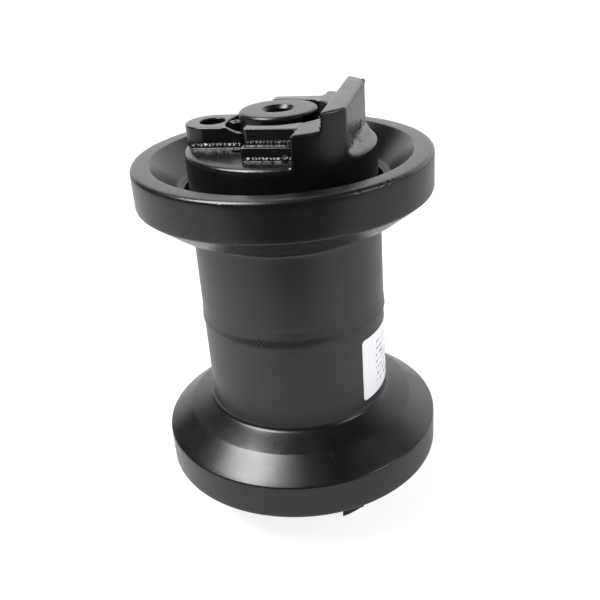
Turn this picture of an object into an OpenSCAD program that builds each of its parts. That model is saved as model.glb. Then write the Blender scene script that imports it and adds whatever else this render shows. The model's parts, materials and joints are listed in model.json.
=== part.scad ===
// Track roller: a two-flanged welded shell that turns on a fixed shaft, with a forked collar
// at each end. Millimetres. +Z runs along the shaft, the origin is at mid-length on the axis,
// and +X is the way the upper collar's horn faces.

/* [Roller shell] */
// Radius of the flange rims
flange_r = 70; // [69:0.5:72]
// Radius of the barrel between the flanges
barrel_r = 45.2; // [44.5:0.1:46]
// Height of the flange top faces above mid-length
flange_top_z = 79; // [78.5:0.5:80]
// Height where the rim wall starts
rim_wall_z = 61; // [60:0.5:62]
// Radius of the ridge between the two cones of a flange
ridge_r = 57.4; // [56:0.2:58]
// Height of that ridge
ridge_z = 51.2; // [50.8:0.2:51.6]
// Height of the corner between barrel and flange
barrel_end_z = 45.8; // [45.4:0.2:46.2]
// Inner radius of the rim's flat top
rim_inner_r = 61.3; // [60:0.1:62]
// Radius of the hollow that the collar stands in
well_r = 46.6; // [46.2:0.1:47]
// Height of the lip around that hollow
well_lip_z = 65.1; // [64.5:0.1:66]
// Height of the girth weld above mid-length
weld_z = 3.5; // [1:0.5:4]

/* [Shaft] */
// Radius of the visible shaft ends
shaft_end_r = 18; // [17.5:0.1:18]
// Radius of the bush journals
journal_r = 20; // [19.5:0.1:20]
// Half the overall length of the shaft
shaft_half_length = 98.8; // [98:0.2:99.4]
// Radial clearance between journal and bush
bush_clearance = 0.05; // [0.02:0.01:0.09]

/* [Collar] */
// Radius of the collar
collar_r = 44.4; // [43.8:0.1:44.6]
// Height of the ledge that the eye lug stands on
ledge_z = 83.2; // [82.8:0.1:83.6]
// Height of the fork's top face
plateau_z = 97.3; // [97:0.1:97.6]
// Height of the horn's top face
horn_top_z = 105.5; // [104:0.5:106]
// Distance from the axis to the horn's outer flat
horn_flat_x = 35.8; // [35.5:0.1:36.2]
// Thickness of the horn
horn_t = 9.3; // [9:0.1:9.6]
// Radius of the pocket around the shaft end
pocket_r = 24.5; // [24:0.1:24.6]
// Distance from the axis to the step where the fork arms start
step_x = 14.6; // [14:0.1:15]
// Distance from the axis to the tips of the fork arms
arm_tip_x = -8.4; // [-9:0.1:-8]

/* [Eye lug] */
// Distance from the axis to the lug's hole
lug_x = -31.8; // [-32:0.1:-31.7]
// Radius of the lug's round end
lug_r = 12.7; // [12.4:0.1:12.8]
// Radius of the lug's hole
lug_hole_r = 6; // [5.6:0.1:6.4]
// Height of the lug's top face
lug_top_z = 93.3; // [93:0.1:93.6]

/* [Label] */
// Height of the label
label_h = 33.5; // [30:0.5:36]
// Angle that the label covers
label_angle = 78; // [60:1:90]

/* [Hidden] */
$fn = 96;

// Colours
paint = [0.09, 0.09, 0.1];
weld_paint = [0.14, 0.14, 0.15];
steel = [0.62, 0.63, 0.65];
seal_iron = [0.45, 0.44, 0.43];
bronze = [0.72, 0.5, 0.25];
black_rubber = [0.04, 0.04, 0.04];
sticker = [0.93, 0.93, 0.95];

// Shell outline
foot_fillet_r = 3;
cone_angle = atan2(ridge_z - barrel_end_z, ridge_r - barrel_r);
rim_round_r = 2;
rim_inner_round_r = 1.2;
rim_lower_round_r = 1.2;
dish_r = 50;
dish_z = 65.4;
lip_round_r = 0.8;

// Inside of the shell, from the seals to the oil chamber
well_floor_z = 57.5;
seal_housing_r = 37;
seal_housing_z = 48;
bush_seat_r = 25;
bush_flange_seat_z = 45;
oil_chamber_r = 30;
oil_chamber_z = 12;

// Girth weld
weld_half_w = 4;
weld_root_r = 40;
weld_crown_h = 1.1;

// Bush
bush_inner_z = 8;
bush_flange_r = 30;
bush_flange_t = 3;
bush_bore_r = journal_r + bush_clearance;

// Shaft
thrust_flange_r = 23.5;
thrust_flange_z = bush_inner_z - 0.3;
shoulder_z = 60;
shaft_edge = 1.3;
port_r = 6.1;
port_mouth_r = 7.6;
port_depth = 18;
oil_way_r = 3;
cross_way_r = 2.5;

// Face seals: two mirrored metal rings that meet at seal_face_z, each on a rubber toric
seal_face_z = 56;
seal_inner_r = 26;
seal_ring_r = 31;
seal_lip_r = 35;
seal_lip_t = 2;
seal_ring_h = 6;
toric_r = 34;
toric_section_r = 2.95;
toric_drop = 5;

// Collar
collar_bottom_z = 58.5;
hub_r = 25.5;
collar_housing_floor_z = 64;
ledge_round_r = 1.8;
plateau_fillet_r = 2.5;
horn_foot_fillet_r = 4.5;
o_ring_z = 70;
o_ring_section_r = 1.3;
o_ring_groove_h = 3.2;

// Fork arms: a lower block and an upper plate on each side, welded to the ledge and the step
arm_split_z = 89.8;
block_side_y = 32.2;
plate_side_y = 30.2;
block_tip_x = arm_tip_x - 1.3;

// Eye lug, with a low web on each side towards the fork, cut off just short of the shaft
lug_web_top_z = 91;
lug_web_t = 3;
shaft_gap = 0.4;

// Weld beads
bead = 2.2;

// Lock pin
pin_x = -20.5;
pin_r = 3;
pin_hole_r = 1.15;
pin_top_z = 93.1;
pin_bottom_z = 72;

// Label
label_top_z = -7;
label_start_angle = -32.5;
label_t = 0.15;

// Length added to a cut so that it passes through both faces
over = 1;

// Points along an arc about a centre, from one angle to another
function arc(centre, r, from, to, steps = 6) =
  [for (i = [0 : steps]) let (a = from + (to - from) * i / steps) centre + r * [cos(a), sin(a)]];

// Turns what is drawn for the upper end into the lower end
module at_lower_end() {
  rotate([180, 0, 0]) children();
}

// A ring with a rectangular section between two radii and two heights
module ring(inner_r, outer_r, low_z, high_z) {
  rotate_extrude()
    translate([inner_r, low_z]) square([outer_r - inner_r, high_z - low_z]);
}

// One forged half of the roller. root_z is the height of its welded end.
module shell(root_z) {
  fillet_drop = foot_fillet_r * (1 - sin(cone_angle)) / cos(cone_angle);
  color(paint)
    rotate_extrude($fn = 180)
      polygon(concat(
        [[oil_chamber_r, root_z], [weld_root_r, root_z], [barrel_r, root_z + weld_half_w]],
        arc([barrel_r + foot_fillet_r, barrel_end_z - fillet_drop], foot_fillet_r,
            180, 90 + cone_angle),
        [[ridge_r, ridge_z]],
        arc([flange_r - rim_lower_round_r, rim_wall_z + rim_lower_round_r],
            rim_lower_round_r, -52, 0, 4),
        arc([flange_r - rim_round_r, flange_top_z - rim_round_r], rim_round_r, 0, 90),
        arc([rim_inner_r + rim_inner_round_r, flange_top_z - rim_inner_round_r],
            rim_inner_round_r, 90, 140, 4),
        [[dish_r, dish_z]],
        arc([well_r + lip_round_r, well_lip_z - lip_round_r], lip_round_r, 90, 180, 4),
        [[well_r, well_floor_z], [seal_housing_r, well_floor_z],
         [seal_housing_r, seal_housing_z], [bush_flange_r, seal_housing_z],
         [bush_flange_r, bush_flange_seat_z], [bush_seat_r, bush_flange_seat_z],
         [bush_seat_r, oil_chamber_z], [oil_chamber_r, oil_chamber_z]]));
}

// Weld that fills the V groove between the two halves and stands a little proud
module girth_weld() {
  crown_r = (weld_half_w * weld_half_w / weld_crown_h + weld_crown_h) / 2;
  crown_angle = asin(weld_half_w / crown_r);
  color(weld_paint)
    rotate_extrude($fn = 180)
      polygon(concat(
        [[weld_root_r, weld_z]],
        arc([barrel_r + weld_crown_h - crown_r, weld_z], crown_r, -crown_angle, crown_angle, 8)));
}

// Flanged plain bush, pressed into a shell half
module bush() {
  color(bronze)
    rotate_extrude()
      polygon([[bush_bore_r, bush_inner_z], [bush_seat_r, bush_inner_z],
        [bush_seat_r, bush_flange_seat_z], [bush_flange_r, bush_flange_seat_z],
        [bush_flange_r, bush_flange_seat_z + bush_flange_t],
        [bush_bore_r, bush_flange_seat_z + bush_flange_t]]);
}

// Metal ring of a face seal. side is -1 below the sealing face and 1 above it.
module seal_ring(side) {
  color(seal_iron)
    rotate_extrude()
      polygon([for (p = [[seal_inner_r, 0], [seal_lip_r, 0], [seal_lip_r, seal_lip_t],
          [seal_ring_r, seal_lip_t], [seal_ring_r, seal_ring_h], [seal_inner_r, seal_ring_h]])
        [p[0], seal_face_z + side * p[1]]]);
}

// Rubber toric that loads a seal ring
module toric(side) {
  color(black_rubber)
    rotate_extrude()
      translate([toric_r, seal_face_z + side * toric_drop]) circle(toric_section_r, $fn = 32);
}

// Printed sticker on the lower half of the barrel
module label() {
  corner_r = 2;
  mid_angle = label_start_angle + label_angle / 2;
  half_w = barrel_r * sin(label_angle / 2);
  color(sticker)
    rotate([0, 0, mid_angle])
      intersection() {
        translate([0, 0, label_top_z - label_h]) ring(barrel_r, barrel_r + label_t, 0, label_h);
        translate([0, 0, label_top_z - label_h / 2])
          rotate([90, 0, 90])
            linear_extrude(barrel_r + over)
              union() {
                square([2 * half_w, label_h - 2 * corner_r], center = true);
                square([2 * (half_w - corner_r), label_h], center = true);
                for (sx = [-1, 1], sy = [-1, 1])
                  translate([sx * (half_w - corner_r), sy * (label_h / 2 - corner_r)])
                    circle(corner_r, $fn = 24);
              }
      }
}

// Shaft with a thrust flange at its middle, bush journals and two smaller ends
module shaft() {
  module half_outline() {
    polygon([[0, -over], [thrust_flange_r, -over], [thrust_flange_r, thrust_flange_z],
      [journal_r, thrust_flange_z], [journal_r, shoulder_z], [shaft_end_r, shoulder_z],
      [shaft_end_r, shaft_half_length - shaft_edge],
      [shaft_end_r - shaft_edge, shaft_half_length], [0, shaft_half_length]]);
  }
  color(paint)
    difference() {
      union() {
        rotate_extrude() half_outline();
        at_lower_end() rotate_extrude() half_outline();
      }
      // Threaded oil port in the upper end, with a countersunk mouth
      translate([0, 0, shaft_half_length - port_depth]) cylinder(h = port_depth + over, r = port_r);
      translate([0, 0, shaft_half_length - (port_mouth_r - port_r)])
        cylinder(h = port_mouth_r - port_r, r1 = port_r, r2 = port_mouth_r);
      // Oil ways to the middle and out through the thrust flange
      cylinder(h = shaft_half_length - port_depth + over, r = oil_way_r);
      rotate([0, 90, 0]) cylinder(h = thrust_flange_r + over, r = cross_way_r);
      // Centre hole in the lower end
      translate([0, 0, -shaft_half_length]) cylinder(h = 6, r1 = 6, r2 = 1);
      // Grooves that the lock pins stand in
      lock_pin_hole();
      at_lower_end() lock_pin_hole();
    }
}

// Bore of a lock pin, up past the end of the shaft
module lock_pin_hole() {
  translate([pin_x, 0, pin_bottom_z])
    cylinder(h = shaft_half_length - pin_bottom_z + over, r = pin_r, $fn = 48);
}

// Socket plug in the oil port
module oil_plug() {
  plug_h = 8;
  plug_top_z = shaft_half_length - 7;
  color(steel)
    difference() {
      translate([0, 0, plug_top_z - plug_h]) cylinder(h = plug_h, r = port_r);
      translate([0, 0, plug_top_z - 5]) cylinder(h = 5 + over, r = 3.5, $fn = 6);
    }
}

// Solid part of the collar above the ledge, between the step and the horn's flat
module collar_head(low_z) {
  intersection() {
    translate([0, 0, low_z]) cylinder(h = horn_top_z - low_z, r = collar_r);
    union() {
      translate([step_x, -collar_r, low_z])
        cube([collar_r, 2 * collar_r, plateau_z - low_z]);
      translate([horn_flat_x - horn_t, -collar_r, low_z])
        cube([collar_r, 2 * collar_r, horn_top_z - low_z]);
      // Fillet from the plateau up to the horn
      translate([horn_flat_x - horn_t, 0, plateau_z])
        rotate([90, 0, 0])
          linear_extrude(2 * collar_r, center = true)
            difference() {
              translate([-plateau_fillet_r, 0]) square(plateau_fillet_r);
              translate([-plateau_fillet_r, plateau_fillet_r]) circle(plateau_fillet_r, $fn = 48);
            }
    }
  }
}

// Everything outside the horn's flat, above the ledge and its fillet
module horn_flat_cut() {
  width = 2 * collar_r;
  height = horn_top_z - ledge_z + over;
  r = horn_foot_fillet_r;
  translate([horn_flat_x, 0, ledge_z])
    rotate([90, 0, 0])
      linear_extrude(width, center = true)
        difference() {
          square([collar_r, height]);
          difference() {
            square(r);
            translate([r, r]) circle(r, $fn = 64);
          }
        }
}

// Cast collar: seal housing below, ledge, fork root and horn above
module collar() {
  head_low_z = ledge_z - 10;
  color(paint)
    difference() {
      union() {
        rotate_extrude()
          polygon(concat(
            [[0, shoulder_z], [hub_r, shoulder_z], [hub_r, collar_housing_floor_z],
             [seal_housing_r, collar_housing_floor_z], [seal_housing_r, collar_bottom_z],
             [collar_r, collar_bottom_z]],
            arc([collar_r - ledge_round_r, ledge_z - ledge_round_r], ledge_round_r, 0, 90),
            [[0, ledge_z]]));
        collar_head(head_low_z);
      }
      horn_flat_cut();
      // Pocket around the shaft end
      translate([0, 0, ledge_z]) cylinder(h = horn_top_z, r = pocket_r);
      // Shaft seat and its O-ring groove
      translate([0, 0, shoulder_z - over]) cylinder(h = ledge_z, r = shaft_end_r);
      ring(0, shaft_end_r + 2 * o_ring_section_r,
           o_ring_z - o_ring_groove_h / 2, o_ring_z + o_ring_groove_h / 2);
      lock_pin_hole();
    }
}

// Outline of the eye lug, grown by a margin for the weld around it
module lug_outline(grow) {
  intersection() {
    union() {
      translate([lug_x, 0]) circle(lug_r + grow);
      translate([lug_x, -lug_r - grow]) square([-lug_x, 2 * (lug_r + grow)]);
    }
    circle(collar_r);
  }
}

// Welded plate with an eye, and low webs that reach towards the fork arms
module eye_lug() {
  color(paint)
    difference() {
      union() {
        translate([0, 0, ledge_z]) linear_extrude(lug_top_z - ledge_z)
          difference() {
            lug_outline(0);
            circle(pocket_r);
          }
        for (side = [-1, 1])
          translate([-pocket_r, side * (lug_r - lug_web_t / 2) - lug_web_t / 2, ledge_z])
            cube([pocket_r + block_tip_x - 2, lug_web_t, lug_web_top_z - ledge_z]);
      }
      translate([lug_x, 0, ledge_z - over]) cylinder(h = lug_top_z, r = lug_hole_r);
      translate([0, 0, ledge_z - over]) cylinder(h = lug_top_z, r = shaft_end_r + shaft_gap);
    }
}

// Weld bead around the foot of the eye lug
module lug_weld() {
  color(weld_paint)
    translate([0, 0, ledge_z])
      linear_extrude(bead)
        difference() {
          lug_outline(bead);
          lug_outline(0);
          circle(shaft_end_r + shaft_gap);
          translate([block_tip_x - bead, -collar_r]) square([collar_r, 2 * collar_r]);
        }
}

// One side piece of the fork, outside the pocket, between two heights
module arm_piece(tip_x, side_y, low_z, high_z) {
  difference() {
    translate([tip_x, 0, low_z]) cube([step_x - tip_x, side_y, high_z - low_z]);
    translate([0, 0, low_z - over]) cylinder(h = high_z, r = pocket_r);
  }
}

// Lower blocks of the two fork arms
module arm_blocks() {
  color(paint)
    for (side = [0, 1])
      mirror([0, side, 0]) arm_piece(block_tip_x, block_side_y, ledge_z, arm_split_z);
}

// Upper plates of the two fork arms
module arm_plates() {
  color(paint)
    for (side = [0, 1])
      mirror([0, side, 0]) arm_piece(arm_tip_x, plate_side_y, arm_split_z, plateau_z);
}

// Triangular weld bead of a given length along +X
module straight_bead(length, w) {
  rotate([90, 0, 90]) linear_extrude(length) polygon([[0, 0], [w, 0], [0, w]]);
}

// Beads at the foot of the blocks, on the shelf under the plates, and up the corner at the step
module arm_welds() {
  corner_low_z = ledge_z + bead;
  color(weld_paint)
    for (side = [0, 1])
      mirror([0, side, 0]) {
        translate([block_tip_x, block_side_y, ledge_z])
          straight_bead(step_x - block_tip_x, bead);
        translate([arm_tip_x, plate_side_y, arm_split_z])
          straight_bead(step_x - arm_tip_x, block_side_y - plate_side_y);
        translate([step_x, block_side_y, corner_low_z])
          linear_extrude(arm_split_z - corner_low_z) polygon([[0, 0], [-bead, 0], [0, bead]]);
      }
}

// O-ring between shaft and collar
module collar_o_ring() {
  color(black_rubber)
    rotate_extrude()
      translate([shaft_end_r + o_ring_section_r, o_ring_z]) circle(o_ring_section_r, $fn = 32);
}

// Hollow pin that stops the shaft from turning in the collar
module lock_pin() {
  color(paint)
    translate([pin_x, 0, pin_bottom_z])
      difference() {
        cylinder(h = pin_top_z - pin_bottom_z, r = pin_r, $fn = 48);
        translate([0, 0, -over]) cylinder(h = pin_top_z, r = pin_hole_r, $fn = 32);
      }
}

shell(weld_z);  // upper_shell
at_lower_end() shell(-weld_z);  // lower_shell
girth_weld();
bush();  // upper_bush
at_lower_end() bush();  // lower_bush
seal_ring(-1);  // upper_rotating_seal_ring
at_lower_end() seal_ring(-1);  // lower_rotating_seal_ring
toric(-1);  // upper_rotating_toric
at_lower_end() toric(-1);  // lower_rotating_toric
label();
shaft();
oil_plug();
collar();  // upper_collar
at_lower_end() collar();  // lower_collar
eye_lug();  // upper_eye_lug
at_lower_end() eye_lug();  // lower_eye_lug
lug_weld();  // upper_lug_weld
at_lower_end() lug_weld();  // lower_lug_weld
arm_blocks();  // upper_arm_blocks
at_lower_end() arm_blocks();  // lower_arm_blocks
arm_plates();  // upper_arm_plates
at_lower_end() arm_plates();  // lower_arm_plates
arm_welds();  // upper_arm_welds
at_lower_end() arm_welds();  // lower_arm_welds
seal_ring(1);  // upper_fixed_seal_ring
at_lower_end() seal_ring(1);  // lower_fixed_seal_ring
toric(1);  // upper_fixed_toric
at_lower_end() toric(1);  // lower_fixed_toric
collar_o_ring();  // upper_collar_o_ring
at_lower_end() collar_o_ring();  // lower_collar_o_ring
lock_pin();  // upper_lock_pin
at_lower_end() lock_pin();  // lower_lock_pin
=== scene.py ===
"""Looks of the track roller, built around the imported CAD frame. Metres, +Z along the shaft."""

import json
import math
import random

import bmesh
import bpy
from mathutils import Matrix, Vector, noise


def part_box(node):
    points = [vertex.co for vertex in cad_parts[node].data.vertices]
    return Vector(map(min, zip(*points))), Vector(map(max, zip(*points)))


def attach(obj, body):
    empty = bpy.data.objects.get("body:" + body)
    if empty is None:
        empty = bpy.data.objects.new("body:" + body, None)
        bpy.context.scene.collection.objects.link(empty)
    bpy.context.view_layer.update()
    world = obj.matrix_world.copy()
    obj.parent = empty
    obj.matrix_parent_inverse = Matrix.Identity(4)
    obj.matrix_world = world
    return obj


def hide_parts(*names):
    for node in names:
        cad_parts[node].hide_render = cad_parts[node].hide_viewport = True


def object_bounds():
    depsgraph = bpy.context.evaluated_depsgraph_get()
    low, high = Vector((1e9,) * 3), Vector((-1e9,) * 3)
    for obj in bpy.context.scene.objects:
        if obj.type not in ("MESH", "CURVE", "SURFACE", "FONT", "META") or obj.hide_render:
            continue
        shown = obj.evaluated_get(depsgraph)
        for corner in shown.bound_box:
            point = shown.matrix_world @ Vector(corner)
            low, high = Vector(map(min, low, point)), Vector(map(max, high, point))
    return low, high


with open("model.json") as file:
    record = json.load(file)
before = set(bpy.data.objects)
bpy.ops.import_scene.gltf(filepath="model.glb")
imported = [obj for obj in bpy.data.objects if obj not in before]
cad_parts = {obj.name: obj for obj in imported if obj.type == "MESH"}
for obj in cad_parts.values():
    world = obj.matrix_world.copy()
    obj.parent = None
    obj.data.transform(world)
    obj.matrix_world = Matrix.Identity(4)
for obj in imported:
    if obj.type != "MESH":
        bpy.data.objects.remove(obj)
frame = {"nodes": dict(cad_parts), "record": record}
cad_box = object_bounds()

MM = 0.001
ENDS = ("upper", "lower")
TURNED_OVER = Matrix.Rotation(math.pi, 4, "X")

# Sizes in millimetres, from the frame where a node's box gives them
FLANGE_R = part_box("upper_shell")[1].x / MM
FLANGE_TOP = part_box("upper_shell")[1].z / MM
WELD_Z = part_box("upper_shell")[0].z / MM
LEDGE_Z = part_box("upper_eye_lug")[0].z / MM
LUG_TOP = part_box("upper_eye_lug")[1].z / MM
LUG_SIDE_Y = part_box("upper_eye_lug")[1].y / MM
BLOCK_TIP_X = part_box("upper_arm_blocks")[0].x / MM
BLOCK_SIDE_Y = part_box("upper_arm_blocks")[1].y / MM
STEP_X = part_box("upper_arm_blocks")[1].x / MM
ARM_SPLIT_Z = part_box("upper_arm_blocks")[1].z / MM
PLATE_TIP_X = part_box("upper_arm_plates")[0].x / MM
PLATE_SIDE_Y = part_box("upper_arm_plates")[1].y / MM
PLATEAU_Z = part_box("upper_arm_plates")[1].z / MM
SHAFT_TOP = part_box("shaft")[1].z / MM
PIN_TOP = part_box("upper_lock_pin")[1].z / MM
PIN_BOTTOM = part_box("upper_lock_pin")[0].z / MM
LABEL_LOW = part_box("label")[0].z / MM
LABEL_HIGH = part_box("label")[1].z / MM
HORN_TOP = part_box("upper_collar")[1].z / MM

# Sizes in millimetres that no box gives
HORN_INNER_X = 26.5
HORN_OUTER_X = 35.8
# How much the ledge of a collar swells above its drawn height
LEDGE_SWELL = 0.8
FOOT_Z = LEDGE_Z + LEDGE_SWELL
BARREL_R = 45.2
WELD_HALF_W = 4.0
SHAFT_END_R = 18.0
JOURNAL_R = 20.0
SHOULDER_Z = 60.0
THRUST_R = 23.5
THRUST_Z = 7.7
PORT_R = 6.1
PORT_MOUTH_R = 7.6
PORT_DEPTH = 18.0
OIL_WAY_R = 3.0
LUG_X = -31.8
LUG_HOLE_R = 6.0
PIN_X = -20.5
PIN_R = 3.0
PIN_HOLE_R = 1.15
# Where the label starts and ends around the barrel, in degrees
LABEL_START = -32.5
LABEL_END = 45.5
LABEL_CORNER = 2.0
LABEL_T = 0.15


# ---------------------------------------------------------------- materials

ENAMEL = (0.0028, 0.0028, 0.0030)
DUST = (0.03, 0.03, 0.032)
PRIMER_RED = (0.17, 0.007, 0.012)
RUBBER_BLACK = (0.018, 0.018, 0.019)
RUBBER_BLOOM = (0.06, 0.06, 0.062)
PAPER_WHITE = (0.88, 0.88, 0.92)
PRINT_GREY = (0.12, 0.12, 0.13)


def new_material(name, colour, roughness, metallic=0.0):
    """A Principled material, with its node tree, shader and object coordinates."""
    mat = bpy.data.materials.new(name)
    mat.use_nodes = True
    tree = mat.node_tree
    shader = tree.nodes["Principled BSDF"]
    shader.inputs["Base Color"].default_value = (*colour, 1)
    shader.inputs["Roughness"].default_value = roughness
    shader.inputs["Metallic"].default_value = metallic
    coords = tree.nodes.new("ShaderNodeTexCoord").outputs["Object"]
    return mat, tree, shader, coords


def noise_map(tree, coords, size_mm, detail=2.0):
    """A noise texture whose features measure about size_mm."""
    node = tree.nodes.new("ShaderNodeTexNoise")
    node.inputs["Scale"].default_value = 1 / (size_mm * MM)
    node.inputs["Detail"].default_value = detail
    tree.links.new(coords, node.inputs["Vector"])
    return node.outputs["Fac"]


def ramp(tree, value, low, high, low_out, high_out):
    """Maps value from low..high to low_out..high_out, clamped and smooth."""
    node = tree.nodes.new("ShaderNodeMapRange")
    node.interpolation_type = "SMOOTHSTEP"
    node.inputs["From Min"].default_value = low
    node.inputs["From Max"].default_value = high
    node.inputs["To Min"].default_value = low_out
    node.inputs["To Max"].default_value = high_out
    tree.links.new(value, node.inputs["Value"])
    return node.outputs["Result"]


def mix_colour(tree, factor, first, second):
    """Mixes two colours, each a tuple or a socket, by a factor socket."""
    node = tree.nodes.new("ShaderNodeMix")
    node.data_type = "RGBA"
    tree.links.new(factor, node.inputs["Factor"])
    for socket, colour in ((node.inputs[6], first), (node.inputs[7], second)):
        if isinstance(colour, tuple):
            socket.default_value = (*colour, 1)
        else:
            tree.links.new(colour, socket)
    return node.outputs[2]


def math_node(tree, operation, first, second):
    """A Math node on two sockets or numbers."""
    node = tree.nodes.new("ShaderNodeMath")
    node.operation = operation
    for socket, value in zip(node.inputs, (first, second)):
        if isinstance(value, (int, float)):
            socket.default_value = value
        else:
            tree.links.new(value, socket)
    return node.outputs[0]


def bumps(tree, shader, layers):
    """Chains bump layers, each (height socket, depth in mm, strength), into the shader's normal."""
    normal = None
    for height, depth_mm, strength in layers:
        node = tree.nodes.new("ShaderNodeBump")
        node.inputs["Distance"].default_value = depth_mm * MM
        node.inputs["Strength"].default_value = strength
        tree.links.new(height, node.inputs["Height"])
        if normal is not None:
            tree.links.new(normal, node.inputs["Normal"])
        normal = node.outputs["Normal"]
    tree.links.new(normal, shader.inputs["Normal"])


def make_paint(name, roughness=0.27, coarse=0.015, fine=0.004, specular=0.5):
    """Black industrial enamel over forged or cast steel, with orange peel, specks and dull patches.
    coarse and fine are the depths of its two kinds of unevenness, in mm."""
    mat, tree, shader, coords = new_material(name, ENAMEL, roughness)
    shader.inputs["Specular IOR Level"].default_value = specular
    patches = noise_map(tree, coords, 13, 4)
    specks = noise_map(tree, coords, 0.5, 1)
    thin_film = tuple(channel * 1.8 for channel in ENAMEL)
    film = mix_colour(tree, ramp(tree, patches, 0.35, 0.7, 0.0, 1.0), ENAMEL, thin_film)
    dust = ramp(tree, specks, 0.76, 0.82, 0.0, 0.5)
    tree.links.new(mix_colour(tree, dust, film, DUST), shader.inputs["Base Color"])
    dull = ramp(tree, patches, 0.2, 0.8, roughness - 0.015, roughness + 0.03)
    tree.links.new(dull, shader.inputs["Roughness"])
    pits = ramp(tree, noise_map(tree, coords, 0.9, 0), 0.16, 0.22, 0.0, 1.0)
    bumps(tree, shader, [(noise_map(tree, coords, 7, 3), coarse, 1.0),
                         (noise_map(tree, coords, 0.9, 2), fine, 1.0), (pits, 0.03, 0.8)])
    return mat


def make_lug_paint():
    """The paint of the eye lugs, worn to red primer on one side of the hole's edge."""
    mat = make_paint("lug_paint", roughness=0.21, coarse=0.05, fine=0.02)
    tree = mat.node_tree
    shader = tree.nodes["Principled BSDF"]
    coords = tree.nodes["Texture Coordinate"].outputs["Object"]
    split = tree.nodes.new("ShaderNodeSeparateXYZ")
    tree.links.new(coords, split.inputs[0])
    x, y, z = split.outputs
    dx = math_node(tree, "SUBTRACT", x, LUG_X * MM)
    dx_squared = math_node(tree, "MULTIPLY", dx, dx)
    y_squared = math_node(tree, "MULTIPLY", y, y)
    radius = math_node(tree, "SQRT", math_node(tree, "ADD", dx_squared, y_squared), 0.0)
    ragged = math_node(tree, "MULTIPLY", noise_map(tree, coords, 1.6, 3), 0.9 * MM)
    edge = math_node(tree, "SUBTRACT", radius, ragged)
    near_rim = ramp(tree, edge, (LUG_HOLE_R - 0.15) * MM, (LUG_HOLE_R + 0.12) * MM, 1.0, 0.0)
    height = math_node(tree, "ABSOLUTE", z, 0.0)
    near_top = ramp(tree, height, (LUG_TOP - 1.3) * MM, (LUG_TOP - 0.8) * MM, 0.0, 1.0)
    # The lower collar is the upper one turned over, so its y is turned over too
    turned_y = math_node(tree, "MULTIPLY", y, math_node(tree, "SIGN", z, 0.0))
    side = math_node(tree, "SUBTRACT", math_node(tree, "MULTIPLY", dx, 0.4), turned_y)
    chipped = ramp(tree, side, -1.5 * MM, 1.5 * MM, 0.0, 1.0)
    mask = math_node(tree, "MULTIPLY", math_node(tree, "MULTIPLY", near_rim, near_top), chipped)
    enamel = shader.inputs["Base Color"].links[0].from_socket
    tree.links.new(mix_colour(tree, mask, enamel, PRIMER_RED), shader.inputs["Base Color"])
    return mat


def make_metal(name, colour, roughness, size_mm):
    """Machined metal with fine turning marks and stains."""
    mat, tree, shader, coords = new_material(name, colour, roughness, metallic=1.0)
    stains = noise_map(tree, coords, 5, 4)
    stained = tuple(channel * 0.6 for channel in colour)
    tint = mix_colour(tree, ramp(tree, stains, 0.35, 0.7, 0.0, 0.6), colour, stained)
    tree.links.new(tint, shader.inputs["Base Color"])
    dull = ramp(tree, stains, 0.3, 0.7, roughness, roughness + 0.15)
    tree.links.new(dull, shader.inputs["Roughness"])
    rings = tree.nodes.new("ShaderNodeTexWave")
    rings.wave_type = "RINGS"
    rings.rings_direction = "Z"
    rings.inputs["Scale"].default_value = 1 / (size_mm * MM) / 3
    rings.inputs["Distortion"].default_value = 0.4
    tree.links.new(coords, rings.inputs["Vector"])
    grain = noise_map(tree, coords, 0.6, 3)
    bumps(tree, shader, [(rings.outputs["Fac"], 0.006, 0.6), (grain, 0.006, 0.6)])
    return mat


def make_rubber():
    """Moulded rubber with a faint bloom."""
    mat, tree, shader, coords = new_material("rubber", RUBBER_BLACK, 0.62)
    bloom = ramp(tree, noise_map(tree, coords, 3, 4), 0.4, 0.7, 0.0, 0.4)
    tree.links.new(mix_colour(tree, bloom, RUBBER_BLACK, RUBBER_BLOOM), shader.inputs["Base Color"])
    bumps(tree, shader, [(noise_map(tree, coords, 0.5, 2), 0.01, 1.0)])
    return mat


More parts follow.
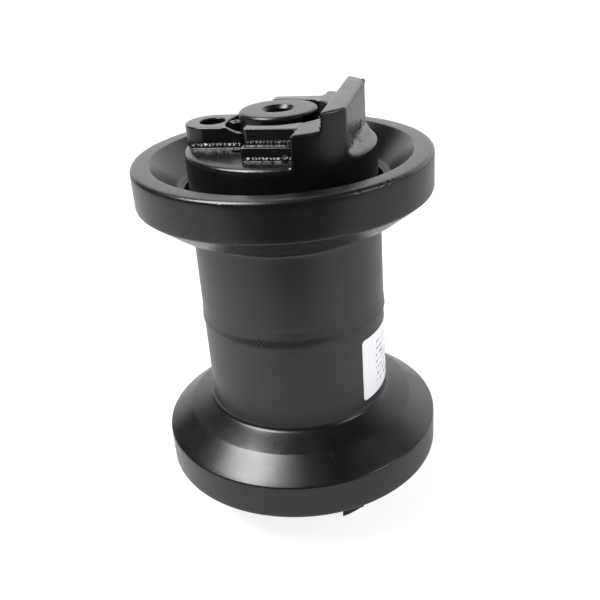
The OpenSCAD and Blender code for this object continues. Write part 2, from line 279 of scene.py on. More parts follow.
def make_label():
    """White sticker with rows of short grey bars that stand for print and spell nothing."""
    row_pitch = 3.6
    row_top = LABEL_HIGH - 5
    mat, tree, shader, coords = new_material("label", PAPER_WHITE, 0.3)
    split = tree.nodes.new("ShaderNodeSeparateXYZ")
    tree.links.new(coords, split.inputs[0])
    angle = math_node(tree, "ARCTAN2", split.outputs[1], split.outputs[0])
    along = math_node(tree, "MULTIPLY", angle, BARREL_R)
    up = math_node(tree, "DIVIDE", split.outputs[2], MM)
    rows_down = math_node(tree, "DIVIDE", math_node(tree, "SUBTRACT", row_top, up), row_pitch)
    row = math_node(tree, "FLOOR", rows_down, 0)
    within = math_node(tree, "FRACT", rows_down, 0)

    flat = tree.nodes.new("ShaderNodeCombineXYZ")
    tree.links.new(math_node(tree, "MULTIPLY", along, 0.9), flat.inputs[0])
    tree.links.new(math_node(tree, "MULTIPLY", row, 7.3), flat.inputs[1])
    words = tree.nodes.new("ShaderNodeTexNoise")
    words.inputs["Scale"].default_value = 1.0
    words.inputs["Detail"].default_value = 1.0
    tree.links.new(flat.outputs[0], words.inputs["Vector"])
    ink = ramp(tree, words.outputs["Fac"], 0.50, 0.52, 0.0, 1.0)

    limits = [ramp(tree, within, 0.02, 0.06, 0.0, 1.0), ramp(tree, within, 0.42, 0.46, 1.0, 0.0),
              ramp(tree, along, -14.5, -14.2, 0.0, 1.0), ramp(tree, along, 24.0, 24.3, 1.0, 0.0),
              math_node(tree, "GREATER_THAN", up, LABEL_LOW + 5),
              math_node(tree, "LESS_THAN", up, row_top)]
    mask = ink
    for limit in limits:
        mask = math_node(tree, "MULTIPLY", mask, limit)
    tree.links.new(mix_colour(tree, mask, PAPER_WHITE, PRINT_GREY), shader.inputs["Base Color"])
    sheen = ramp(tree, noise_map(tree, coords, 4, 3), 0.3, 0.7, 0.26, 0.36)
    tree.links.new(sheen, shader.inputs["Roughness"])
    bumps(tree, shader, [(noise_map(tree, coords, 9, 2), 0.03, 0.6)])
    return mat


paint = make_paint("paint")
barrel_paint = make_paint("barrel_paint", roughness=0.36, coarse=0.025, fine=0.005, specular=0.68)
shaft_paint = make_paint("shaft_paint", roughness=0.27, coarse=0.02, fine=0.006, specular=0.4)
plate_paint = make_paint("plate_paint", roughness=0.19, coarse=0.04, fine=0.015, specular=0.65)
weld_paint = make_paint("weld_paint", roughness=0.20, coarse=0.02, fine=0.02)
cast_paint = make_paint("cast_paint", roughness=0.25, coarse=0.06, fine=0.025)
lug_paint = make_lug_paint()
steel = make_metal("steel", (0.42, 0.42, 0.44), 0.32, 0.25)
seal_iron = make_metal("seal_iron", (0.34, 0.33, 0.32), 0.22, 0.2)
bronze = make_metal("bronze", (0.70, 0.46, 0.22), 0.3, 0.3)
rubber = make_rubber()
label_paper = make_label()


# ---------------------------------------------------------------- mesh tools

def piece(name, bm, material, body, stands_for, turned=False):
    """Makes an object from a bmesh in millimetres, rides it on its body and replaces its CAD nodes."""
    bm.transform(Matrix.Diagonal((MM, MM, MM, 1)))
    if turned:
        bm.transform(TURNED_OVER)
    mesh = bpy.data.meshes.new(name)
    bm.to_mesh(mesh)
    bm.free()
    mesh.shade_smooth()
    obj = bpy.data.objects.new(name, mesh)
    bpy.context.scene.collection.objects.link(obj)
    mesh.materials.append(material)
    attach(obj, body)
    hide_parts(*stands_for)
    return obj


def rounded(corners, steps=6, spacing=2.5):
    """A closed outline from (r, z, fillet) corners: arcs at the corners, points along the sides."""
    points = []
    count = len(corners)
    for i, (r, z, fillet) in enumerate(corners):
        here = Vector((r, z))
        before = (Vector(corners[i - 1][:2]) - here).normalized()
        after = (Vector(corners[(i + 1) % count][:2]) - here).normalized()
        if fillet <= 0:
            points.append(here)
            continue
        half = before.angle(after) / 2
        centre = here + (before + after).normalized() * (fillet / math.sin(half))
        start = here + before * (fillet / math.tan(half)) - centre
        end = here + after * (fillet / math.tan(half)) - centre
        turn = start.angle_signed(end)
        for k in range(steps + 1):
            points.append(centre + Matrix.Rotation(-turn * k / steps, 2) @ start)
    outline = []
    for a, b in zip(points, points[1:] + points[:1]):
        pieces_along = max(1, math.ceil((b - a).length / spacing))
        outline += [a.lerp(b, k / pieces_along) for k in range(pieces_along)]
    return outline


def lathe(outline, turns, shape=None):
    """Revolves a closed (r, z) outline about Z. shape(r, z, angle) may return a changed (r, z)."""
    bm = bmesh.new()
    rings = []
    for k in range(turns):
        angle = 2 * math.pi * k / turns
        ring = []
        for p in outline:
            r, z = shape(p[0], p[1], angle) if shape else (p[0], p[1])
            ring.append(bm.verts.new((r * math.cos(angle), r * math.sin(angle), z)))
        rings.append(ring)
    for k in range(turns):
        one, two = rings[k], rings[(k + 1) % turns]
        for i in range(len(outline)):
            j = (i + 1) % len(outline)
            bm.faces.new((one[i], two[i], two[j], one[j]))
    bmesh.ops.remove_doubles(bm, verts=bm.verts, dist=1e-4)
    bmesh.ops.recalc_face_normals(bm, faces=bm.faces)
    return bm


def smooth_between(low, high, value):
    """0 at low, 1 at high, smooth between and flat outside. low may be the larger of the two."""
    t = min(1.0, max(0.0, (value - low) / (high - low)))
    return t * t * (3 - 2 * t)


def soft_noise(x, y, z, size):
    """Smooth noise between about -1 and 1, with features of the given size."""
    return noise.noise(Vector((x, y, z)) / size)


# ---------------------------------------------------------------- roller shell

def shell_outline(root_z):
    """Outline of one shell half, from its welded end at root_z to the rim."""
    return rounded([
        (30, root_z, 0), (40, root_z, 0), (BARREL_R, root_z + WELD_HALF_W, 0.3),
        (BARREL_R, 45.8, 3.0), (57.4, 51.2, 2.5), (FLANGE_R, 61, 1.5), (FLANGE_R, FLANGE_TOP, 2.0),
        (61.3, FLANGE_TOP, 1.3), (50, 65.4, 3.0), (46.6, 65.1, 0.8), (46.6, 57.5, 0.6), (37, 57.5, 0.4),
        (37, 48, 0.4), (30, 48, 0), (30, 45, 0), (25, 45, 0), (25, 12, 0.4), (30, 12, 0)])


# Knocks on the rims that catch the light: (angle in degrees, r, z, size, depth)
RIM_KNOCKS = [
    (-50.6, 69.5, 78.3, 0.8, 0.22),
    (-38.5, 69.5, 78.4, 0.9, 0.22),
    (-42.0, 69.6, 78.2, 0.7, 0.18),
    (-36.0, 69.5, 78.3, 0.6, 0.18),
    (-97.3, 69.3, 78.5, 0.6, 0.20),
    (-150.0, 69.9, 70.0, 1.6, 0.20)]


def make_dents(count, seed):
    """Small knocks at random on the rim's edges and wall, and on the cone below it."""
    pick = random.Random(seed)
    spots = [(FLANGE_R, FLANGE_TOP - 1), (FLANGE_R, 61.5), (FLANGE_R, 68),
             (61.3, FLANGE_TOP), (63, 55.6)]
    dents = [(math.radians(knock[0]), *knock[1:]) for knock in RIM_KNOCKS]
    for _ in range(count):
        r, z = pick.choice(spots)
        dents.append((pick.uniform(-math.pi, math.pi), r, z + pick.uniform(-0.6, 0.6),
                      pick.uniform(0.5, 1.1), pick.uniform(0.08, 0.25)))
    return dents


def shell_shape(seed):
    """Forging waviness and knocks on the outside of a shell half."""
    dents = make_dents(24, seed)

    def shape(r, z, angle):
        """Moves one point of the outline; the inside and the welded end stay as they are."""
        if r < 44 or z < 20:
            return r, z
        x, y = r * math.cos(angle), r * math.sin(angle)
        wave = 0.04 * soft_noise(x, y, z + 50 * seed, 26) + 0.008 * soft_noise(x, y, z, 5)
        r_out, z_out = r + wave, z + wave
        for a, dent_r, dent_z, size, depth in dents:
            gap = (angle - a + math.pi) % (2 * math.pi) - math.pi
            if abs(gap) * r > 4:
                continue
            away = ((gap * r) ** 2 + (r - dent_r) ** 2 + (z - dent_z) ** 2) / size ** 2
            push = depth * math.exp(-away)
            r_out -= push
            z_out -= push * 0.5
        return r_out, z_out

    return shape


def build_shells():
    """The two forged halves, with softer paint on the barrel."""
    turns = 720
    for end, root_z, seed in (("upper", WELD_Z, 1), ("lower", -WELD_Z, 2)):
        bm = lathe(shell_outline(root_z), turns, shell_shape(seed))
        barrel = [f for f in bm.faces if f.calc_center_median().z < 45]
        for face in barrel:
            face.material_index = 1
        lower = end == "lower"
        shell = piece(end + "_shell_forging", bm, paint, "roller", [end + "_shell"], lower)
        shell.data.materials.append(barrel_paint)


# ---------------------------------------------------------------- girth weld

# The side where the undercut below the girth weld is deepest, in degrees
UNDERCUT_SIDE = -88.0


def girth_profile(t, deep):
    """How far the bead stands off the barrel at t, from 0 at its upper toe to 1 at its lower toe."""
    belly = (0.50 - 0.14 * deep) * t ** (1.0 + 0.5 * deep) - 0.04
    crown = (0.14 + 0.56 * deep) * smooth_between(0.55, 0.93, t)
    return belly + crown


def build_girth_weld():
    """The bead around the barrel: it swells towards its lower edge, where ripples end in an undercut."""
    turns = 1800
    across = 56
    pitch = 1.5
    low, high = WELD_Z - WELD_HALF_W - 0.3, WELD_Z + WELD_HALF_W + 1.2
    bm = bmesh.new()
    rings = []
    for k in range(turns):
        angle = 2 * math.pi * k / turns
        c, s = math.cos(angle), math.sin(angle)
        gap = math.remainder(angle - math.radians(UNDERCUT_SIDE), 2 * math.pi)
        deep = math.exp(-(gap / 0.55) ** 2)
        lumps = 0.5 + 0.5 * soft_noise(40 * c, 40 * s, 31, 7)
        undercut = (0.08 + 0.25 * deep) * (0.6 + 0.6 * lumps)
        ring = [bm.verts.new((40 * c, 40 * s, WELD_Z))]
        for i in range(across + 1):
            t = 1 - i / across
            z = low + (high - low) * (1 - t) + 0.5 * soft_noise(45 * c, 45 * s, 3, 16) * 4 * t * (1 - t)
            along = angle * BARREL_R - 6.5 * t + 1.6 * soft_noise(45 * c, 45 * s, 77, 6)
            step = (along / pitch) % 1
            reach = 0.46 + 0.14 * soft_noise(40 * c, 40 * s, 9, 3)
            band = smooth_between(reach, reach + 0.2, t) * smooth_between(0.97, 0.90, t)
            stroke = math.exp(-((step - 0.5) / 0.2) ** 2)
            ripple = -(0.03 + 0.24 * deep) * (0.3 + 1.1 * lumps) * stroke * band
            rough = 0.02 * soft_noise(45 * c, 45 * s, z, 1.2) * smooth_between(0.2, 0.5, t)
            toe = smooth_between(1.0, 0.955, t)
            height = (girth_profile(t, deep) + ripple + rough + 0.15) * toe - 0.15
            height -= undercut * math.exp(-((t - 0.955) / 0.02) ** 2)
            r = BARREL_R + height
            ring.append(bm.verts.new((r * c, r * s, z)))
        rings.append(ring)
    for k in range(turns):
        one, two = rings[k], rings[(k + 1) % turns]
        for i in range(len(one)):
            j = (i + 1) % len(one)
            bm.faces.new((one[i], two[i], two[j], one[j]))
    bmesh.ops.recalc_face_normals(bm, faces=bm.faces)
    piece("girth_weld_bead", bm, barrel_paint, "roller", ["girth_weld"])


# ---------------------------------------------------------------- castings and plates

def softened(node, voxel, rounds, reshape):
    """A bmesh in millimetres of a CAD node with its edges worn round, each point moved by reshape."""
    mesh = frame["nodes"][node].data.copy()
    obj = bpy.data.objects.new("softening", mesh)
    bpy.context.scene.collection.objects.link(obj)
    weld = obj.modifiers.new("weld", "WELD")
    weld.merge_threshold = 1e-6
    remesh = obj.modifiers.new("remesh", "REMESH")
    remesh.mode = "VOXEL"
    remesh.voxel_size = voxel * MM
    smooth = obj.modifiers.new("smooth", "SMOOTH")
    smooth.factor = 0.5
    smooth.iterations = rounds
    bpy.context.view_layer.update()
    evaluated = obj.evaluated_get(bpy.context.evaluated_depsgraph_get())
    result = bpy.data.meshes.new_from_object(evaluated)
    bpy.data.objects.remove(obj)
    bpy.data.meshes.remove(mesh)
    bm = bmesh.new()
    bm.from_mesh(result)
    bpy.data.meshes.remove(result)
    bm.transform(Matrix.Diagonal((1 / MM, 1 / MM, 1 / MM, 1)))
    bm.normal_update()
    moved = [reshape(v.co, v.normal) for v in bm.verts]
    for v, co in zip(bm.verts, moved):
        v.co = co
    return bm


def scab_depth(x, y, z):
    """How deep the broken casting skin at the foot of the horn's outer flat is."""
    upper = 90.5 + 3.5 * soft_noise(3, y, 8, 5)
    lower = 85.0 + 1.2 * soft_noise(6, y, 2, 4)
    patch = smooth_between(lower - 1, lower + 1, z) * smooth_between(upper + 1.5, upper - 1.5, z)
    patch *= smooth_between(-27, -21, y) * smooth_between(16, 8, y)
    patch *= smooth_between(-0.45, 0.15, soft_noise(1, y, z, 2.6))
    strokes = noise.noise(Vector((7, y * 1.15, z * 0.42)))
    crumbs = 0.6 * noise.noise(Vector((3, y * 2.3, z * 1.1)))
    return patch * (0.65 * smooth_between(-0.2, 0.8, strokes + crumbs) - 0.25 * soft_noise(x, y, z, 1.1))


def shape_collar(co, normal):
    """The cast skin of a collar, with a swollen ledge, a tilted horn top and a scabbed horn foot."""
    x, y, z = co
    height = 0.035 * soft_noise(x, y, z, 7) + 0.012 * soft_noise(x, y, z, 1.8)
    on_outer_flat = x > HORN_OUTER_X - 1.5
    if on_outer_flat and z < HORN_TOP - 8:
        height -= scab_depth(x, y, z)
    if on_outer_flat and z > 80:
        height += 0.05 * noise.noise(Vector((x * 0.2, y * 0.9, z * 0.12)))
    burr = (co - Vector((HORN_OUTER_X, 25.4, HORN_TOP - 0.3))).length
    height += 0.7 * math.exp(-(burr / 1.3) ** 2)
    moved = co + normal * height
    radius = math.hypot(x, y)
    if radius > 25 and z > LEDGE_Z - 5 and x < STEP_X + 1:
        near_ledge = smooth_between(LEDGE_Z - 5, LEDGE_Z - 1, z)
        near_ledge *= smooth_between(LEDGE_Z + 5, LEDGE_Z + 1, z)
        moved.z += (LEDGE_SWELL - 0.25 * smooth_between(38.5, 43.5, radius)) * near_ledge
    moved.z -= 0.5 * smooth_between(98, 104, z) * smooth_between(36, -36, y)
    return moved


def round_corner(co, tip_x, side_y, radius):
    """Rounds the upright corners of a plate that ends at tip_x and at +-side_y."""
    dx, dy = tip_x + radius - co.x, abs(co.y) - (side_y - radius)
    if dx > 0 and dy > 0:
        pull = max(dx, dy) / math.hypot(dx, dy)
        co.x += dx * (1 - pull)
        co.y -= math.copysign(dy * (1 - pull), co.y)


def shape_plate(co, normal):
    """The skin of a small plate, with the faces that meet the collar sunk into it."""
    x, y, z = co
    moved = co + normal * (0.03 * soft_noise(x, y, z, 4) + 0.012 * soft_noise(x, y, z, 1.2))
    if z > ARM_SPLIT_Z + 0.3 and x > PLATE_TIP_X - 1:
        round_corner(moved, PLATE_TIP_X, PLATE_SIDE_Y, 1.6)
    elif x > BLOCK_TIP_X - 1 and abs(y) > LUG_SIDE_Y + 2:
        round_corner(moved, BLOCK_TIP_X, BLOCK_SIDE_Y, 0.9)
    on_web = LUG_SIDE_Y - 3.6 < abs(y) < LUG_SIDE_Y + 1 and -23.9 < x < BLOCK_TIP_X
    if on_web and z > LEDGE_Z + 1:
        room = min(1.0, max(0.0, LUG_TOP - z) / 2.3)
        moved.z += 2.1 * smooth_between(-16.5, -23.0, x) * room * (z - LEDGE_Z) / 7.8
    if x > STEP_X - 0.7:
        moved.x += 1.4
    if normal.z < -0.5 and (z < LEDGE_Z + 0.6 or abs(z - ARM_SPLIT_Z) < 0.6):
        moved.z -= 0.9
    return moved


def build_castings():
    """The collars, eye lugs, blocks and plates. A coarser mesh needs fewer rounds to wear as much."""
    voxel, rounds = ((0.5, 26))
    plates = {"eye_lug": lug_paint, "arm_blocks": plate_paint, "arm_plates": plate_paint}
    for end in ENDS:
        lower = end == "lower"
        bm = softened("upper_collar", voxel, rounds, shape_collar)
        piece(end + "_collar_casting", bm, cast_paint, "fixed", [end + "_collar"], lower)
        for part, material in plates.items():
            bm = softened("upper_" + part, 0.35, 7, shape_plate)
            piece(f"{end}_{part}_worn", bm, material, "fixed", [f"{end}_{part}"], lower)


# ---------------------------------------------------------------- weld beads on the collars

def ripple_marks(length, pitch, pick):
    """Where each ripple of a bead starts, and how strong it is, at an uneven pitch."""
    marks = []
    at = -pitch
    while at < length + pitch:
        marks.append((at, pick.uniform(0.45, 1.35)))
        at += pitch * pick.uniform(0.62, 1.4)
    return marks


def ripple_height(marks, s):
    """A round crest between one mark and the next, with its top past the middle."""
    for (start, strength), (end, _) in zip(marks, marks[1:]):
        if start <= s < end:
            t = (s - start) / (end - start)
            return strength * (0.5 - 0.5 * math.cos(2 * math.pi * t ** 1.25)) - 0.45
    return 0.0


# Cross-section of a bead from its floor toe to its wall toe: (share of the way, out, up), in bead sizes
BEAD_PROFILE = [
    (0.00, 1.050, -0.12),
    (0.25, 0.500, 0.12),
    (0.30, 0.485, 0.15),
    (0.45, 0.360, 0.60),
    (0.60, 0.300, 0.76),
    (0.90, 0.070, 1.02),
    (1.00, 0.000, 1.05)]


def bead_point(u):
    """The point of the bead's cross-section at u, as (out, up)."""
    for (u0, out0, up0), (u1, out1, up1) in zip(BEAD_PROFILE, BEAD_PROFILE[1:]):
        if u <= u1:
            t = (u - u0) / (u1 - u0)
            return out0 + (out1 - out0) * t, up0 + (up1 - up0) * t
    return BEAD_PROFILE[-1][1:]


def bead(bm, path, out, size, pitch, seed, rise=1.0):
    """Adds a rippled fillet bead to bm. path is its inner corner, and out points off the wall. The
    ripples are on a lip along the wall, and below it the bead runs out smooth and nearly flat."""
    around = 20
    pick = random.Random(seed)
    lengths = [0.0]
    for a, b in zip(path, path[1:]):
        lengths.append(lengths[-1] + (b - a).length)
    total = lengths[-1]
    marks = ripple_marks(total, pitch, pick)
    up = Vector((0, 0, 1))
    rings = []
    for corner, s in zip(path, lengths):
        end_gap = min(s, total - s) / 1.6
        taper = math.sqrt(min(1.0, 0.12 + end_gap))
        swell = 1 + 0.14 * soft_noise(s, seed, 0, 3.2)
        ring = []
        for i in range(around + 1):
            u = i / around
            out_share, up_share = bead_point(u)
            bow = s + 0.9 * pitch * (u - 0.7)
            lip = smooth_between(0.42, 0.62, u) * (1 - 0.6 * smooth_between(0.88, 1.0, u))
            ripple = 0.40 * ripple_height(marks, bow) * lip
            lumpy = 0.05 * soft_noise(s, 7 * u, seed, 1.3)
            away = size * taper * swell * out_share + 0.8 * ripple + lumpy
            tall = (size * taper * swell * up_share + 0.7 * ripple + lumpy) * rise
            ring.append(bm.verts.new(corner + out * away + up * tall))
        ring.append(bm.verts.new(corner - out * 0.7 + up * size * 0.6 * taper))
        ring.append(bm.verts.new(corner - out * 0.7 - up * 0.9))
        ring.append(bm.verts.new(corner + out * size * 0.8 * taper - up * 0.9))
        rings.append(ring)
    for one, two in zip(rings, rings[1:]):
        for i in range(len(one)):
            j = (i + 1) % len(one)
            bm.faces.new((one[i], two[i], two[j], one[j]))
    bm.faces.new(rings[0])
    bm.faces.new(reversed(rings[-1]))


def straight(start, end, spacing=0.16):
    """Points from start to end, closely spaced."""
    start, end = Vector(start), Vector(end)
    count = max(2, int((end - start).length / spacing))
    return [start.lerp(end, k / count) for k in range(count + 1)]


def add_blob(bm, centre, size, crater=0.0, facing=(0, 0, 1)):
    """A lump of weld of size (x, y, z), with an optional crater on the side that faces that way."""
    way = Vector(facing).normalized()
    made = bmesh.ops.create_icosphere(bm, subdivisions=4, radius=1)["verts"]
    for v in made:
        wobble = 1 + 0.22 * noise.noise(v.co * 1.7 + Vector(centre))
        ahead = v.co.dot(way)
        rim = (v.co - way * ahead).length
        dip = crater * math.exp(-(rim / 0.5) ** 4) if ahead > 0 else 0.0
        dented = v.co - way * dip
        shaped = Vector((dented.x * size[0], dented.y * size[1], dented.z * size[2]))
        v.co = shaped * wobble + Vector(centre)


def finish_weld(bm, name, stands_for, lower):
    """Turns the faces of a bead outwards and makes it a piece."""
    bmesh.ops.recalc_face_normals(bm, faces=bm.faces)
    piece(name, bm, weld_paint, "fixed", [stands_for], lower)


def build_lug_welds(end):
    """The two beads along the foot of the eye lug."""
    bm = bmesh.new()
    for side in (-1, 1):
        y = side * LUG_SIDE_Y
        run = straight((LUG_X - 7.5, y, FOOT_Z), (-13.6, y, FOOT_Z + 0.3))
        bead(bm, run, Vector((0, side, 0)), 2.6, 1.9, seed=11 + side, rise=0.84)
    finish_weld(bm, end + "_lug_weld_bead", end + "_lug_weld", end == "lower")


def build_arm_welds(end):
    """Beads at the foot of the fork arms and on their shelves, with the lumps around their ends."""
    bm = bmesh.new()
    shelf = BLOCK_SIDE_Y - PLATE_SIDE_Y
    shelf_z = ARM_SPLIT_Z + 0.5
    turn_x = STEP_X - 3.2
    for side in (-1, 1):
        out = Vector((0, side, 0))
        foot_y = side * BLOCK_SIDE_Y
        shelf_y = side * PLATE_SIDE_Y
        foot = straight((BLOCK_TIP_X + 0.5, foot_y, FOOT_Z), (STEP_X + 0.4, foot_y, FOOT_Z))
        bead(bm, foot, out, 2.2, 1.8, seed=20 + side, rise=0.68)
        level = straight((PLATE_TIP_X + 0.3, shelf_y, shelf_z), (turn_x, shelf_y, shelf_z))
        rising = straight((turn_x, shelf_y, shelf_z), (STEP_X + 0.6, shelf_y, shelf_z + 3.6))
        bead(bm, level + rising[1:], out, shelf - 0.3, 1.75, seed=30 + side, rise=1.15)

        crater_at = (STEP_X - 4.6, foot_y + side * 0.2, FOOT_Z + 0.9)
        add_blob(bm, crater_at, (1.9, 1.2, 1.5), 0.55, (0, side * 0.6, 0.8))
        lumps = [((STEP_X - 2.2, foot_y + side * 0.3, FOOT_Z + 0.5), (0.9, 0.9, 0.9)),
                 ((STEP_X - 0.2, foot_y + side * 2.2, FOOT_Z + 0.1), (0.7, 1.0, 0.8)),
                 ((STEP_X + 0.1, foot_y + side * 0.2, FOOT_Z + 4.0), (0.5, 0.4, 2.2)),
                 ((STEP_X + 0.1, shelf_y + side * 1.4, ARM_SPLIT_Z + 0.6), (0.9, 0.7, 1.3)),
                 ((STEP_X + 0.6, shelf_y + side * 1.6, PLATEAU_Z - 0.8), (0.9, 0.8, 0.8))]
        for k, lift in enumerate((0.3, 1.5, 2.6)):
            spot = (HORN_INNER_X - 0.4 + 0.3 * k, side * (34.3 - 0.2 * k), PLATEAU_Z + lift)
            lumps.append((spot, (0.7, 0.8, 0.8)))
        for centre, size in lumps:
            add_blob(bm, centre, size)
    finish_weld(bm, end + "_arm_weld_bead", end + "_arm_welds", end == "lower")


# ---------------------------------------------------------------- shaft, pins and label

def end_outline(direction):
    """Outline of one half of the shaft up to its end face, as (r, z, fillet) corners."""
    top = SHAFT_TOP * direction
    return [(THRUST_R, THRUST_Z * direction, 0.3), (JOURNAL_R, THRUST_Z * direction, 0.4),
            (JOURNAL_R, SHOULDER_Z * direction, 0.4), (SHAFT_END_R, SHOULDER_Z * direction, 0.3),
            (SHAFT_END_R, top, 1.5)]


def port_outline():
    """The threaded oil port in the shaft's upper end, from its mouth down to the oil way."""
    corners = [(PORT_MOUTH_R, SHAFT_TOP, 0.35), (PORT_R, SHAFT_TOP - 1.6, 0.1)]
    z = SHAFT_TOP - 2.2
    while z > SHAFT_TOP - 6.6:
        corners += [(PORT_R + 0.45, z, 0), (PORT_R - 0.1, z - 0.5, 0)]
        z -= 1.0
    floor_z = SHAFT_TOP - PORT_DEPTH
    corners += [(PORT_R, floor_z, 0.3), (OIL_WAY_R, floor_z, 0.2), (OIL_WAY_R, 0, 0)]
    return corners


def shaft_shape(r, z, angle):
    """Cuts the grooves that the lock pins stand in."""
    gap = math.remainder(angle - math.pi, 2 * math.pi)
    across = -PIN_X * math.sin(abs(gap))
    if abs(z) < PIN_BOTTOM or abs(gap) > math.pi / 4 or across >= PIN_R:
        return r, z
    groove = -PIN_X * math.cos(gap) - math.sqrt(PIN_R ** 2 - across ** 2)
    return min(r, groove), z


def build_shaft():
    """The shaft, turned in one piece, with its port above and a centre hole below."""
    lower_end = [(1, -SHAFT_TOP + 6, 0), (6, -SHAFT_TOP, 0.3)]
    corners = port_outline() + [(0, 0, 0), (0, -SHAFT_TOP + 6, 0)] + lower_end
    corners += list(reversed(end_outline(-1))) + end_outline(1)
    outline = rounded(corners, steps=5, spacing=3)
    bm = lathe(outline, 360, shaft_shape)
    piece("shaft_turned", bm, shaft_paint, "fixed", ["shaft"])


def build_lock_pins():
    """A hollow pin with chamfered ends in each collar."""
    corners = [(PIN_HOLE_R, PIN_BOTTOM, 0.2), (PIN_R, PIN_BOTTOM, 0.5),
               (PIN_R, PIN_TOP, 0.4), (PIN_HOLE_R, PIN_TOP, 0.15)]
    for end in ENDS:
        name = end + "_lock_pin"
        bm = lathe(rounded(corners, steps=6, spacing=1.5), 64)
        bmesh.ops.translate(bm, verts=bm.verts, vec=(PIN_X, 0, 0))
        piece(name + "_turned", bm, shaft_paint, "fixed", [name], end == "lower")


def build_label():
    """The sticker: a thin curved sheet with rounded corners and slightly uneven edges."""
    columns, rows = 90, 48
    middle = math.radians((LABEL_START + LABEL_END) / 2)
    half_arc = math.radians((LABEL_END - LABEL_START) / 2) * BARREL_R
    half_h = (LABEL_HIGH - LABEL_LOW) / 2
    middle_z = (LABEL_HIGH + LABEL_LOW) / 2
    bm = bmesh.new()
    sheets = []
    for lift in (LABEL_T, 0.02):
        sheet = []
        for j in range(rows + 1):
            t = -math.cos(math.pi * j / rows)
            inset = max(0.0, abs(t) * half_h - (half_h - LABEL_CORNER))
            half_w = half_arc - LABEL_CORNER + math.sqrt(max(0.0, LABEL_CORNER ** 2 - inset ** 2))
            row = []
            for i in range(columns + 1):
                across = half_w * (2 * i / columns - 1)
                angle = middle + across / BARREL_R
                z = middle_z + half_h * t
                r = BARREL_R + lift - 0.04 * abs(soft_noise(across, z, 5, 9)) * lift / LABEL_T
                row.append(bm.verts.new((r * math.cos(angle), r * math.sin(angle), z)))
            sheet.append(row)
        sheets.append(sheet)
    top, back = sheets
    for j in range(rows):
        for i in range(columns):
            bm.faces.new((top[j][i], top[j][i + 1], top[j + 1][i + 1], top[j + 1][i]))
            bm.faces.new((back[j][i], back[j + 1][i], back[j + 1][i + 1], back[j][i + 1]))
    for j in range(rows):
        for i in (0, columns):
            bm.faces.new((top[j][i], top[j + 1][i], back[j + 1][i], back[j][i]))
    for i in range(columns):
        for j in (0, rows):
            bm.faces.new((top[j][i], top[j][i + 1], back[j][i + 1], back[j][i]))
    bmesh.ops.recalc_face_normals(bm, faces=bm.faces)
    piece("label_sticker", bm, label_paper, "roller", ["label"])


def dress_cad_nodes():
    """Gives every CAD node the material of its slot."""
    looks = {"paint": paint, "weld_paint": weld_paint, "steel": steel, "seal_iron": seal_iron,
             "bronze": bronze, "rubber": rubber, "label": label_paper}
    slots = {subpart["node"]: subpart["material_slot"] for subpart in frame["record"]["subparts"]}
    for name, obj in frame["nodes"].items():
        obj.data.materials.clear()
        obj.data.materials.append(looks[slots[name]])


dress_cad_nodes()
build_shells()
build_girth_weld()
build_castings()
for collar_end in ENDS:
    build_lug_welds(collar_end)
    build_arm_welds(collar_end)
build_shaft()
build_lock_pins()
build_label()


# ---------------------------------------------------------------- studio

VIEW_AZIMUTH = math.radians(14.4)
VIEW_ELEVATION = math.radians(26.33)
VIEW_ROLL = math.radians(4.41)
CAMERA_POINT = Vector((94.3, -356.8, 184.1)) * MM
RIGHT = Vector((math.cos(VIEW_AZIMUTH), math.sin(VIEW_AZIMUTH), 0))
FRONT = Vector((math.sin(VIEW_AZIMUTH), -math.cos(VIEW_AZIMUTH), 0))
UP = Vector((0, 0, 1))

# How bright the parts of the world are
SWEEP_RADIANCE = 1.25
WALL_RADIANCE = 0.35
ROOM_RADIANCE = 0.08


def make_camera():
    """The camera, at the angle that the roller is seen from."""
    data = bpy.data.cameras.new("camera")
    data.sensor_width = 36
    data.lens = 48.93
    data.shift_x = 0.0023
    obj = bpy.data.objects.new("camera", data)
    bpy.context.scene.collection.objects.link(obj)
    forward = -FRONT * math.cos(VIEW_ELEVATION) - UP * math.sin(VIEW_ELEVATION)
    level_up = RIGHT.cross(forward)
    right = RIGHT * math.cos(VIEW_ROLL) - level_up * math.sin(VIEW_ROLL)
    up = level_up * math.cos(VIEW_ROLL) + RIGHT * math.sin(VIEW_ROLL)
    turn = Matrix((right, up, -forward)).transposed()
    obj.matrix_world = Matrix.Translation(CAMERA_POINT) @ turn.to_4x4()
    bpy.context.scene.camera = obj


def softbox(name, way, distance, width, height, radiance, glossy=True):
    """An area light that faces the roller from the direction way = (right, front, up). One that isn't
    glossy lights the label and the floor, and doesn't show in the paint."""
    data = bpy.data.lights.new(name, "AREA")
    data.shape = "RECTANGLE"
    data.size, data.size_y = width, height
    data.energy = radiance * math.pi * width * height
    obj = bpy.data.objects.new(name, data)
    bpy.context.scene.collection.objects.link(obj)
    direction = (RIGHT * way[0] + FRONT * way[1] + UP * way[2]).normalized()
    aim = (-direction).to_track_quat("-Z", "Y").to_matrix().to_4x4()
    obj.matrix_world = Matrix.Translation(direction * distance) @ aim
    obj.visible_camera = False
    obj.visible_glossy = glossy


def dot_node(tree, value, axis):
    """The component of a vector socket along axis."""
    node = tree.nodes.new("ShaderNodeVectorMath")
    node.operation = "DOT_PRODUCT"
    node.inputs[1].default_value = axis
    tree.links.new(value, node.inputs[0])
    return node.outputs["Value"]


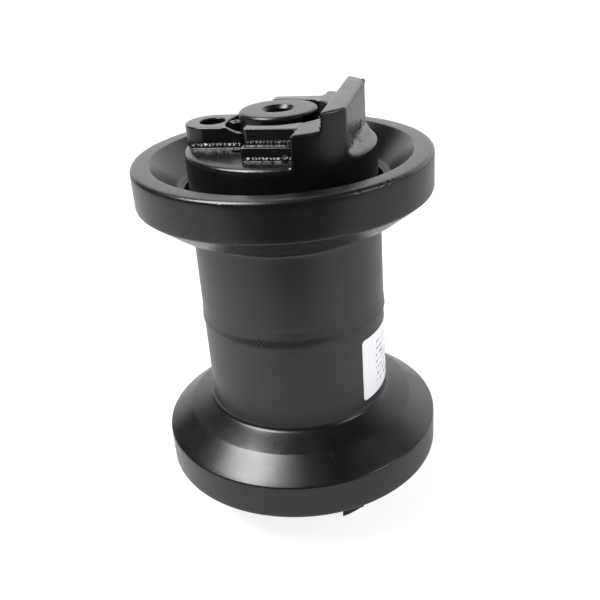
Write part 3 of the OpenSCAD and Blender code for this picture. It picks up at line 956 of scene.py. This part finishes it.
def make_world():
    """What the paint mirrors: a white sweep behind, a dim wall at the right, and a dark room."""
    world = bpy.data.worlds.new("studio")
    bpy.context.scene.world = world
    world.use_nodes = True
    tree = world.node_tree
    background = tree.nodes["Background"]
    way = tree.nodes.new("ShaderNodeTexCoord").outputs["Generated"]
    sweep_middle = RIGHT * 0.28 - FRONT * 0.96
    behind = ramp(tree, dot_node(tree, way, sweep_middle), 0.42, 0.66, 0.0, 1.0)
    below_ceiling = ramp(tree, dot_node(tree, way, UP), 0.86, 0.62, 0.0, 1.0)
    lit = math_node(tree, "MULTIPLY", behind, below_ceiling)
    sweep = math_node(tree, "MULTIPLY", lit, SWEEP_RADIANCE)
    right_wall = ramp(tree, dot_node(tree, way, RIGHT), 0.4, 0.9, 0.0, WALL_RADIANCE)
    total = math_node(tree, "ADD", math_node(tree, "ADD", sweep, right_wall), ROOM_RADIANCE)
    tree.links.new(total, background.inputs["Strength"])
    background.inputs["Color"].default_value = (1.0, 1.0, 1.02, 1)


def stage_piece(name, bm, material):
    """Makes a part of the stage from a bmesh in metres."""
    mesh = bpy.data.meshes.new(name)
    bm.to_mesh(mesh)
    bm.free()
    obj = bpy.data.objects.new(name, mesh)
    bpy.context.scene.collection.objects.link(obj)
    mesh.materials.append(material)
    return obj


def level_sheet(height):
    """A large level sheet."""
    bm = bmesh.new()
    bmesh.ops.create_grid(bm, x_segments=2, y_segments=2, size=4.0)
    bmesh.ops.translate(bm, verts=bm.verts, vec=(0, 0, height))
    return bm


def glowing_material(name, colour, roughness, glow):
    """A matt material of one colour that gives off light of its own."""
    mat, _, shader, _ = new_material(name, colour, roughness)
    shader.inputs["Emission Color"].default_value = (*glow, 1)
    shader.inputs["Emission Strength"].default_value = 1.0
    return mat


def make_floor():
    """The plain pale floor. It doesn't show in the paint."""
    pale = glowing_material("floor", (0.32, 0.32, 0.32), 0.9, (0.84, 0.84, 0.84))
    floor = stage_piece("floor", level_sheet(cad_box[0].z), pale)
    floor.visible_glossy = False


def make_mirrored_floor():
    """A sheet that only the paint mirrors, unseen otherwise: a painted reflection of a floor, its colour
    and glow painted darker towards the room in front.
    """
    mat, tree, shader, coords = new_material("painted_reflection_floor", (0.4, 0.4, 0.4), 0.9)
    front = dot_node(tree, coords, FRONT)
    aside = math_node(tree, "ABSOLUTE", dot_node(tree, coords, RIGHT), 0.0)
    reach = math_node(tree, "SUBTRACT", front, math_node(tree, "MULTIPLY", aside, 0.5))
    # painted reflection: the sheet's colour and glow fade to near black towards the front, so the paint
    # mirrors a darker floor there
    painted_fade = ramp(tree, reach, 0.16, 0.40, 0.0, 1.0)
    lit = mix_colour(tree, painted_fade, (0.36, 0.36, 0.37), (0.04, 0.04, 0.04))
    tree.links.new(lit, shader.inputs["Base Color"])
    glow = mix_colour(tree, painted_fade, (0.36, 0.36, 0.37), (0.0, 0.0, 0.0))
    tree.links.new(glow, shader.inputs["Emission Color"])
    shader.inputs["Emission Strength"].default_value = 1.0
    sheet = stage_piece("painted_reflection_floor", level_sheet(cad_box[0].z + 0.3 * MM), mat)
    sheet.visible_camera = False
    sheet.visible_diffuse = False
    sheet.visible_shadow = False


def make_backdrop():
    """A pale dome around the stage that only the camera sees."""
    bm = bmesh.new()
    bmesh.ops.create_icosphere(bm, subdivisions=4, radius=3.8)
    pale = glowing_material("backdrop", (0.0, 0.0, 0.0), 1.0, (0.95, 0.95, 0.95))
    dome = stage_piece("backdrop", bm, pale)
    dome.visible_diffuse = False
    dome.visible_glossy = False
    dome.visible_shadow = False


make_camera()
make_world()
make_floor()
make_mirrored_floor()
make_backdrop()
softbox("key", (-0.54, 0.17, 0.82), 1.0, 0.56, 0.46, 18.0)
softbox("key_back", (-0.31, -0.145, 0.94), 1.05, 0.32, 0.24, 13.0)
softbox("key_spill", (-0.40, 0.40, 0.82), 1.1, 0.50, 0.50, 3.5)
softbox("label_fill", (0.85, 0.30, 0.43), 1.2, 0.5, 0.5, 3.2, glossy=False)
softbox("right_fill", (0.80, 0.42, 0.42), 0.8, 0.30, 0.25, 5.0)
bpy.context.scene.view_settings.view_transform = "Standard"
